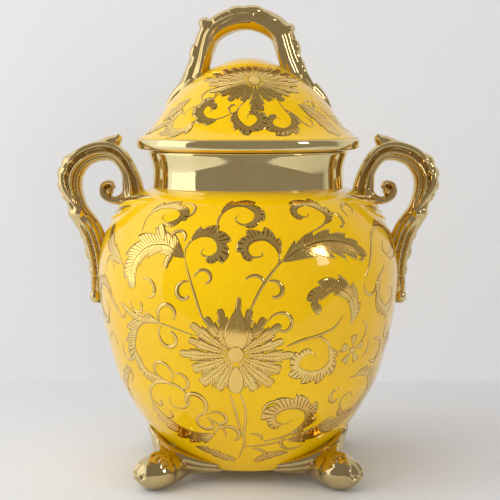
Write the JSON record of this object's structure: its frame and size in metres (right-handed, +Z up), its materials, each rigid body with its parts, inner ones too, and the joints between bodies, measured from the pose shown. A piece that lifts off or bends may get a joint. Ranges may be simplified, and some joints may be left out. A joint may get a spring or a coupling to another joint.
{
  "type": "lidded jar",
  "caption": "Footed bulbous ceramic jar with a domed lift-off lid, gilt scroll side handles, gilt neck and scroll feet, printed all over with gilt lotus scrollwork.",
  "frame": {"origin": "centre of the jar's axis on the surface that its feet stand on", "axes": "+Z up along the axis of the jar, +X from the left handle to the right handle, -Y out of the front"},
  "size_m": [0.2716, 0.214, 0.33],
  "materials": {
    "yellow_glaze": "gloss",
    "gold_lustre": "mirror gold lustre",
    "white_glaze": "gloss"
  },
  "bodies": {
    "jar": {"bowl": "yellow_glaze", "neck_collar": "gold_lustre", "left_handle": "gold_lustre", "right_handle": "gold_lustre", "front_left_foot": "gold_lustre", "front_right_foot": "gold_lustre", "back_left_foot": "gold_lustre", "back_right_foot": "gold_lustre"},
    "lid": {"lid_dome": "yellow_glaze", "lid_rim": "gold_lustre", "lid_flange": "white_glaze", "lid_handle": "gold_lustre"}
  },
  "joints": [
    {"name": "lid_lift", "type": "slide", "parent": "jar", "child": "lid", "axis": [0, 0, 1], "range_m": [0, 0.08]}
  ]
}
